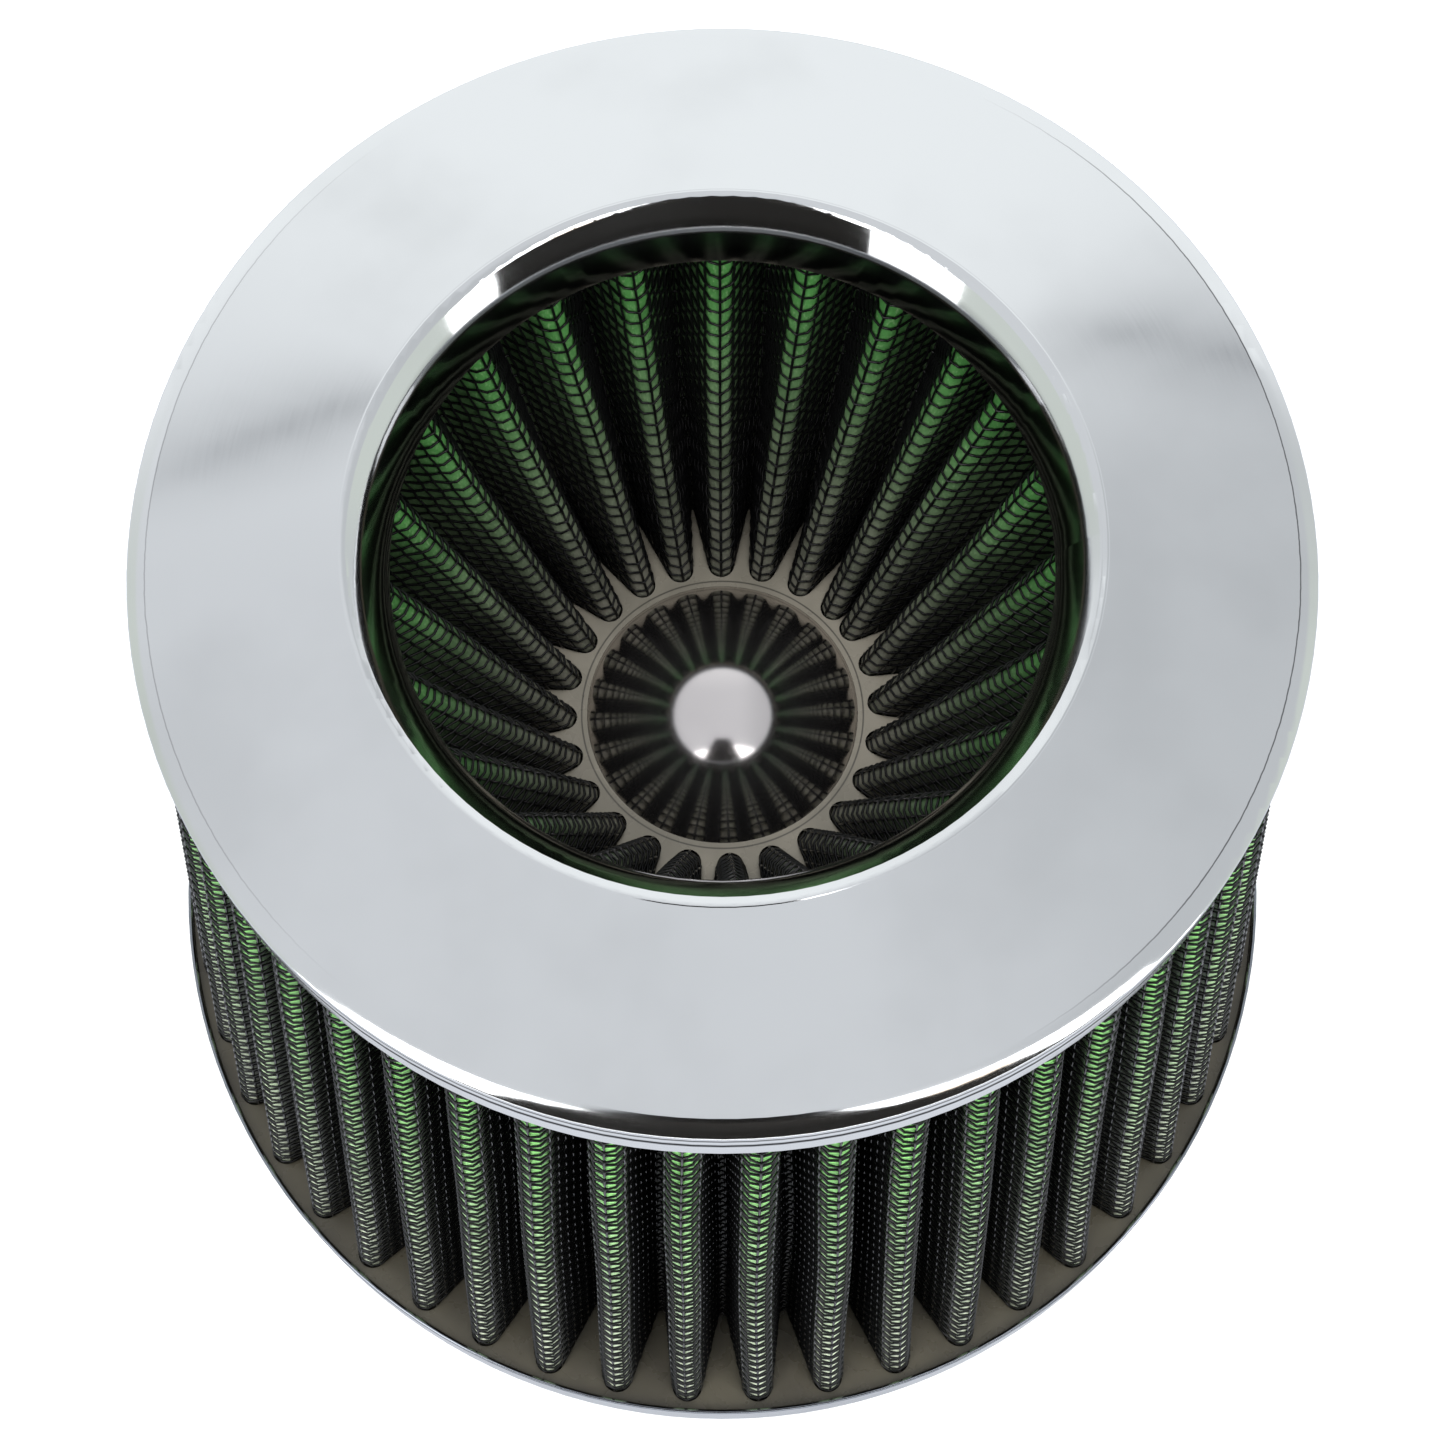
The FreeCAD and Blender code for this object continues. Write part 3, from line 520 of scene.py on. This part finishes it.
def tubes(lines, normals, radius):
    """Four-sided wires with capped ends: lines and normals are (wires, steps, 3) arrays."""
    wires, steps = lines.shape[:2]
    along = np.gradient(lines, axis=1)
    along /= np.linalg.norm(along, axis=-1, keepdims=True)
    out = normals - along * np.sum(normals * along, -1, keepdims=True)
    out /= np.linalg.norm(out, axis=-1, keepdims=True)
    side = np.cross(along, out)
    spokes = np.stack([out, side, -out, -side], 2)
    points = lines[:, :, None, :] + radius * spokes
    single = grid_quads(steps, 4, wrap_columns=True)
    caps = np.array([[0, 3, 2, 1], [0, 1, 2, 3]]) + np.array([[0], [4 * (steps - 1)]])
    single = np.concatenate([single[:, ::-1], caps[:, ::-1]])
    quads = single[None] + (np.arange(wires) * steps * 4)[:, None, None]
    return points.reshape(-1, 3), quads.reshape(-1, 4)


WIRE_PITCH = 1.6 * MM
WIRE_RADIUS = 0.155 * MM
CRIMP = 0.11 * MM


class Cloth:
    """One woven cone: a grid of half-pitch steps that carries the wires and the cotton."""

    def __init__(self, name, pleats, wires_per_pleat, bottom, top):
        self.name = name
        self.pleats = pleats
        self.pleat_count = len(pleats.out_turns)
        self.per_pleat = 2 * wires_per_pleat
        self.rows = 2 * round((top - bottom) / WIRE_PITCH) + 1
        self.heights = np.linspace(bottom, top, self.rows)
        self.points, self.normals = pleats.sheet(self.heights, self.per_pleat)

    def columns(self, first_pleat, pleat_total):
        """Column numbers of a run of pleats, with the first column of the next one."""
        start = first_pleat * self.per_pleat
        return np.arange(start, start + pleat_total * self.per_pleat + 1)

    def normals_3d(self, rows, columns):
        """Normals of chosen grid points as 3-D vectors."""
        flat = self.normals[np.ix_(rows, columns % self.points.shape[1])]
        return np.concatenate([flat, np.zeros((*flat.shape[:2], 1))], -1)

    def grid(self, rows, columns, offset):
        """Chosen grid points in 3-D, moved out by an offset (a number or an array)."""
        wrapped = columns % self.points.shape[1]
        points = self.points[np.ix_(rows, wrapped)]
        normals = self.normals[np.ix_(rows, wrapped)]
        offset = offset if np.isscalar(offset) else offset[..., None]
        return lifted(points, normals, self.heights[rows], offset)

    def weave(self, sectors, middle, material):
        """The cloth's wires, in sectors small enough to handle: upright wires pass over and
        under the level ones, which do the opposite."""
        pleats_each = self.pleat_count // sectors
        for sector in range(sectors):
            columns = self.columns(sector * pleats_each, pleats_each)
            rows = np.arange(self.rows)
            parity = (rows[:, None] // 2 + columns[None, :] // 2) % 2
            crossing = (rows[:, None] % 2 == 0) & (columns[None, :] % 2 == 0)
            swing = np.where(crossing, CRIMP * (1 - 2 * parity), 0.0)

            upright = columns[:-1][columns[:-1] % 2 == 0]
            picked = upright - columns[0]
            lines = self.grid(rows, upright, middle + swing[:, picked]).transpose(1, 0, 2)
            normals = self.normals_3d(rows, upright).transpose(1, 0, 2)
            points, quads = tubes(lines, normals, WIRE_RADIUS)

            level = rows[rows % 2 == 0]
            level_lines = self.grid(level, columns, middle - swing[level])
            level_normals = self.normals_3d(level, columns)
            level_points, level_quads = tubes(level_lines, level_normals, WIRE_RADIUS)

            name = f"{self.name}_wires_{sector + 1:02d}"
            points = np.concatenate([points, level_points])
            quads = np.concatenate([quads, level_quads + len(lines) * self.rows * 4])
            piece = mesh_object(name, points, quads, material)
            if sector == 0:
                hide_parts(f"{self.name}_front_cloth")

    def pad(self, sectors, front, back, swell, material):
        """The cotton between two offsets, swollen towards the front inside every mesh hole."""
        pleats_each = self.pleat_count // sectors
        rows = np.arange(self.rows)
        for sector in range(sectors):
            columns = self.columns(sector * pleats_each, pleats_each)
            between = (rows[:, None] % 2) + (columns[None, :] % 2)
            face = self.grid(rows, columns, front + swell * (between / 2.0) ** 2)
            rear = self.grid(rows, columns, back)
            points = np.concatenate([face.reshape(-1, 3), rear.reshape(-1, 3)])
            quads = shell_quads(len(rows), len(columns), front > back)
            name = f"{self.name}_cotton_{sector + 1}"
            piece = mesh_object(name, points, quads, material)
            if sector == 0:
                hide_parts(f"{self.name}_cotton")

    def backing(self, near, far, material):
        """The cloth behind the cotton: a sheet between two offsets that carries the drawn weave,
        with the number of every wire in its thread coordinates."""
        rows = np.arange(0, self.rows, 6)
        columns = np.arange(0, self.points.shape[1] + 1, 2)
        faces = [self.grid(rows, columns, offset).reshape(-1, 3) for offset in (near, far)]
        quads = shell_quads(len(rows), len(columns), near > far)
        name = f"{self.name}_backing"
        piece = mesh_object(name, np.concatenate(faces), quads, material)
        threads = np.stack(np.meshgrid(columns / 2, rows / 2), -1).reshape(-1, 2)
        corners = np.empty(len(piece.data.loops), np.int32)
        piece.data.loops.foreach_get("vertex_index", corners)
        layer = piece.data.uv_layers.new(name="threads")
        layer.data.foreach_set("uv", np.tile(threads, (2, 1))[corners].astype(np.float32).ravel())
        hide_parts(f"{self.name}_back_cloth")


def even_slope(low_height, low, high_height, high):
    """A value that changes evenly with height."""
    return lambda height: low + (height - low_height) * (high - low) / (high_height - low_height)


HALF_STACK = 0.62 * MM
OUTER_FOLD = 1.28 * MM
INNER_FOLD = 0.88 * MM
OUTER_TIPS = (73.4 * MM, 58.95 * MM)
OUTER_DEPTHS = (12.8 * MM, 11.8 * MM)
INNER_TIPS = (17.2 * MM, 35.6 * MM)
INNER_DEPTHS = (10.2 * MM, 8.3 * MM)
OUTER_COUNT = 48
INNER_COUNT = 24
SEAM_PITCH = math.radians(10.6)
SEAM_TURN = math.radians(39.6)


def outer_pleats():
    """The outer cone's middle surface."""
    pitch = 2 * np.pi / OUTER_COUNT
    in_turns = pitch * np.arange(OUTER_COUNT)
    inset = HALF_STACK + OUTER_FOLD
    radius = even_slope(BASE_FACE, OUTER_TIPS[0] - inset, CAP_FACE, OUTER_TIPS[1] - inset)
    low_span, high_span = (depth - 2 * inset for depth in OUTER_DEPTHS)
    span = even_slope(BASE_FACE, low_span, CAP_FACE, high_span)
    return Pleats(in_turns - pitch / 2, in_turns, OUTER_FOLD, radius, span, waver=0.0045, seed=5)


def inner_pleats():
    """The inner cone's middle surface.  Its sheet is joined where two pleats stand close."""
    pitch = (2 * np.pi - SEAM_PITCH) / (INNER_COUNT - 1)
    in_turns = SEAM_TURN + SEAM_PITCH / 2 + pitch * np.arange(INNER_COUNT)
    out_turns = in_turns - pitch / 2
    out_turns[0] = SEAM_TURN
    inset = HALF_STACK + INNER_FOLD
    low, high = (tip + depth - inset for tip, depth in zip(INNER_TIPS, INNER_DEPTHS))
    radius = even_slope(PLUG_FACE, low, CAP_FACE, high)
    low_span, high_span = (depth - 2 * inset for depth in INNER_DEPTHS)
    span = even_slope(PLUG_FACE, low_span, CAP_FACE, high_span)
    return Pleats(out_turns, in_turns, INNER_FOLD, radius, span, waver=0.006, seed=11)


wire_black = wire_material("black_epoxy_wire")
weave = weave_material("drawn_wire_weave")
# The first pair is the colour painted for grazing views, a painted sheen; the last pair is the colour face
# on.
outer_green = cotton_material(
    "oiled_cotton_outer",
    ((0.74, 0.79, 0.62), (0.22, 0.62, 0.14)),
    (BASE_FACE, CAP_FACE),
    OUTER_TIPS,
    (0.6 * MM, 2.2 * MM, 0.96),
    ((0.22, 0.31, 0.15), (0.09, 0.34, 0.06)),
)
inner_green = cotton_material(
    "oiled_cotton_inner",
    ((0.23, 0.22, 0.18), (0.05, 0.18, 0.042)),
    (PLUG_FACE, CAP_FACE),
    INNER_TIPS,
    (0.8 * MM, 3.5 * MM, 0.7),
)
POTTED = 0.8 * MM
COTTON_HALF = 0.3 * MM
SWELL = 0.17 * MM
WIRE_MIDDLE = COTTON_HALF + CRIMP + WIRE_RADIUS
OUTER_WIRES, INNER_WIRES = 15, 12

outer = Cloth("outer", outer_pleats(), OUTER_WIRES, BASE_FACE - POTTED, CAP_FACE + POTTED)
outer.weave(12, WIRE_MIDDLE, wire_black)
outer.pad(4, COTTON_HALF, -COTTON_HALF, SWELL, outer_green)
outer.backing(-COTTON_HALF, -HALF_STACK, weave)

inner = Cloth("inner", inner_pleats(), INNER_WIRES, PLUG_FACE - POTTED, CAP_FACE + POTTED)
inner.weave(2, -WIRE_MIDDLE, wire_black)
inner.pad(1, -COTTON_HALF, COTTON_HALF, -SWELL, inner_green)
inner.backing(COTTON_HALF, HALF_STACK, weave)


# ------------------------------------------------------------------------ materials of CAD nodes

ring_chrome = chrome_material("polished_chrome", (0.80, 0.815, 0.83), 0.07, 0.05, RING_CREASE, SKIRT_GROOVES)
dome_chrome = chrome_material("dome_chrome", (0.76, 0.72, 0.72), 0.11, 0.06, metal=0.992)
# The pan is tinted far darker than polished chrome so that its rim shows as a dark line, a painted dark
# reflection.
pan_chrome = chrome_material("pan_chrome", (0.30, 0.32, 0.36), 0.12, 0.08)
casting = casting_material("poured_polyurethane", (0.062, 0.055, 0.038), (0.042, 0.037, 0.026))
plug_casting = casting_material("poured_plug", (0.225, 0.205, 0.165), (0.15, 0.138, 0.11), PLUG_LIP)
rubber = rubber_material("moulded_rubber")
strip_steel = steel_material("rolled_strip", (0.60, 0.60, 0.62), (300.0, 4.0, 3000.0), 0.28)
screw_steel = steel_material("zinc_plate", (0.55, 0.56, 0.58), (800.0, 800.0, 800.0), 0.33)

finishes = {
    "rubber_neck": rubber,
    "base_pan": pan_chrome,
    "base_casting": casting,
    "trim_ring": ring_chrome,
    "top_casting": casting,
    "inner_plug": plug_casting,
    "chrome_dome": dome_chrome,
    "clamp_band": strip_steel,
    "clamp_tail": strip_steel,
    "clamp_housing": strip_steel,
    "clamp_screw": screw_steel,
}
for node, material in finishes.items():
    nodes[node].data.materials.clear()
    nodes[node].data.materials.append(material)


# ------------------------------------------------------------------------------- studio


def make_floor():
    """A plain pale floor under the neck."""
    half = 3.0
    corners = [(-half, -half, 0), (half, -half, 0), (half, half, 0), (-half, half, 0)]
    mesh = bpy.data.meshes.new("floor")
    mesh.from_pydata(corners, [], [(0, 1, 2, 3)])
    floor = bpy.data.objects.new("floor", mesh)
    bpy.context.scene.collection.objects.link(floor)
    material, _, shader = new_material("floor_white")
    shader.inputs["Base Color"].default_value = (0.92, 0.92, 0.92, 1)
    shader.inputs["Roughness"].default_value = 0.8
    mesh.materials.append(material)
    floor.location.z = -0.2 * MM
    floor.visible_glossy = False


CAMERA_PLACE = Vector((0.0, -107.2 * MM, PAN_RIM + 388.8 * MM))
CAMERA_PITCH = 71.7
"""Where the camera stands, and how many degrees below the horizon it looks."""

NEAR_TENT = (0.74, 0.76, 0.785)
BACK_TENT = (1.0, 1.03, 1.04)
EAST_WALL = (0.61, 0.63, 0.65)
LOW_WALL = (0.69, 0.735, 0.69)
SEAM_GREY = (0.25, 0.26, 0.28)
BELOW = (0.73, 0.76, 0.82)
SEAMS = ((130.7, 51.0, 8.3), (52.9, 47.9, -1.5))
"""The bearing from +X and the elevation of each seam's middle, and its tilt, in degrees."""


def seam_directions(*angles):
    """The directions to a seam's middle, across the seam and along it."""
    bearing, elevation, tilt = (math.radians(angle) for angle in angles)
    level = Vector((-math.sin(bearing), math.cos(bearing), 0.0))
    outward = Vector((math.cos(bearing), math.sin(bearing), 0.0))
    middle = outward * math.cos(elevation) + Vector((0.0, 0.0, math.sin(elevation)))
    upward = middle.cross(level)
    along = level * math.cos(tilt) + upward * math.sin(tilt)
    across = upward * math.cos(tilt) - level * math.sin(tilt)
    return middle, across, along


def make_world():
    """A pale tent, brightest at the back, with a creased seam high on each side at the back."""
    world = bpy.data.worlds.new("tent")
    bpy.context.scene.world = world
    world.use_nodes = True
    tree = world.node_tree
    direction = tree.nodes.new("ShaderNodeTexCoord").outputs["Generated"]
    east, north, up = split_vector(tree, direction)

    tent = mix_colour(tree, ramp_value(tree, north, 0.3, 0.75), NEAR_TENT, BACK_TENT)
    east_wall = mix_colour(tree, ramp_value(tree, east, 0.15, 0.5), tent, EAST_WALL)
    tent = mix_colour(tree, ramp_value(tree, north, 0.4, 0.7), east_wall, tent)
    low = ramp_value(tree, up, 0.55, 0.68, 1.0, 0.0)
    low = maths(tree, "MULTIPLY", low, ramp_value(tree, north, 0.2, 0.6, 1.0, 0.0))
    tent = mix_colour(tree, low, tent, LOW_WALL)
    streaks = ramp_value(tree, noise(tree, 60.0, 4.0, (1.0, 1.0, 3.0), direction), 0.3, 0.7, 0.5, 1.0)
    for seam in SEAMS:
        middle, across, along = seam_directions(*seam)
        off_line = maths(tree, "ABSOLUTE", dot_product(tree, direction, across))
        off_middle = maths(tree, "ABSOLUTE", dot_product(tree, direction, along))
        narrow = ramp_value(tree, off_line, 0.0, 0.014, 1.0, 0.0)
        soft = ramp_value(tree, off_line, 0.0, 0.05, 0.4, 0.0)
        short = ramp_value(tree, off_middle, 0.03, 0.14, 1.0, 0.0)
        this_side = ramp_value(tree, dot_product(tree, direction, middle), 0.0, 0.1)
        share = maths(tree, "MAXIMUM", narrow, soft)
        for factor in (maths(tree, "MULTIPLY", short, this_side), streaks):
            share = maths(tree, "MULTIPLY", share, factor)
        tent = mix_colour(tree, share, tent, SEAM_GREY)
    tent = mix_colour(tree, ramp_value(tree, up, -0.07, 0.0, 1.0, 0.0), tent, BELOW)

    background = tree.nodes["Background"]
    tree.links.new(tent, background.inputs["Color"])
    background.inputs["Strength"].default_value = 1.0


def make_card(name, corners, glow, tint=(1.0, 1.0, 1.0)):
    """A flat card that only reflections see: black without glow, or a softbox of that glow."""
    mesh = bpy.data.meshes.new(name)
    mesh.from_pydata([Vector(corner) * MM for corner in corners], [], [range(len(corners))])
    card = bpy.data.objects.new(name, mesh)
    bpy.context.scene.collection.objects.link(card)
    material, _, shader = new_material(name)
    shader.inputs["Base Color"].default_value = (0.01, 0.009, 0.008, 1)
    shader.inputs["Specular IOR Level"].default_value = 0.0
    shader.inputs["Emission Color"].default_value = (*tint, 1)
    shader.inputs["Emission Strength"].default_value = glow
    mesh.materials.append(material)
    card.visible_camera = False
    card.visible_diffuse = False
    card.visible_shadow = False


def make_cards():
    """The dark lens, the dark camera side, two softboxes behind it and a window's glint before
    it: outlines in upright planes, in millimetres."""
    lens_plane, camera_plane, softbox_plane, glint_plane = -107, -400, -420, -398
    lens = (
        (0, 450), (10, 444), (18, 425), (23, 350), (30, 292),
        (-30, 292), (-23, 350), (-18, 425), (-10, 444),
    )
    make_card("lens", [(x, lens_plane, z) for x, z in lens], 0.0)
    side = (
        (0, 1700), (-95, 1690), (-140, 1640), (-160, 1350), (-195, 802), (-240, 600), (-271, 482),
        (-280, 176), (560, 176), (549, 574), (300, 720), (195, 802), (160, 1350), (140, 1640), (95, 1690),
    )
    make_card("camera_side", [(x, camera_plane, z) for x, z in side], 0.0)
    left = ((-652, 738), (-548, 886), (-400, 1050), (-250, 1140), (0, 1180), (0, 100), (-650, 100))
    make_card("left_softbox", [(x, softbox_plane, z) for x, z in left], 3.0)
    right = (
        (0, 100), (980, 100), (980, 760), (780, 1000),
        (560, 1100), (400, 1220), (250, 1330), (0, 1370),
    )
    make_card("right_softbox", [(x, softbox_plane, z) for x, z in right], 3.0)
    glint = ((240, 690), (380, 690), (380, 760), (240, 760))
    make_card("window_glint", [(x, glint_plane, z) for x, z in glint], 1.6, (1.0, 0.85, 0.7))


def make_light(name, place, watts):
    """A square area light aimed at the filter's middle, which reflections don't show."""
    light = bpy.data.lights.new(name, "AREA")
    light.size = 0.5
    light.energy = watts
    lamp = bpy.data.objects.new(name, light)
    lamp.location = place
    aim = Vector((0.0, 0.0, 0.1)) - Vector(place)
    lamp.rotation_euler = aim.to_track_quat("-Z", "Y").to_euler()
    lamp.visible_glossy = False
    lamp.visible_camera = False
    bpy.context.scene.collection.objects.link(lamp)


def make_camera():
    """The photograph's view: from the near side, high up, looking down at the throat."""
    camera = bpy.data.cameras.new("camera")
    camera.lens = 71.4
    camera.sensor_width = 36.0
    eye = bpy.data.objects.new("camera", camera)
    eye.location = CAMERA_PLACE
    eye.rotation_euler = (math.radians(90 - CAMERA_PITCH), 0, 0)
    bpy.context.scene.collection.objects.link(eye)
    bpy.context.scene.camera = eye


make_floor()
make_world()
make_cards()
make_light("left_lamp", (-0.5, -0.7, 0.45), 7.0)
make_light("right_lamp", (0.6, -0.55, 0.45), 7.0)
make_light("top_lamp", (0.0, -0.06, 1.2), 9.0)
make_camera()
bpy.context.scene.view_settings.view_transform = "Standard"
bpy.context.scene.view_settings.look = "None"
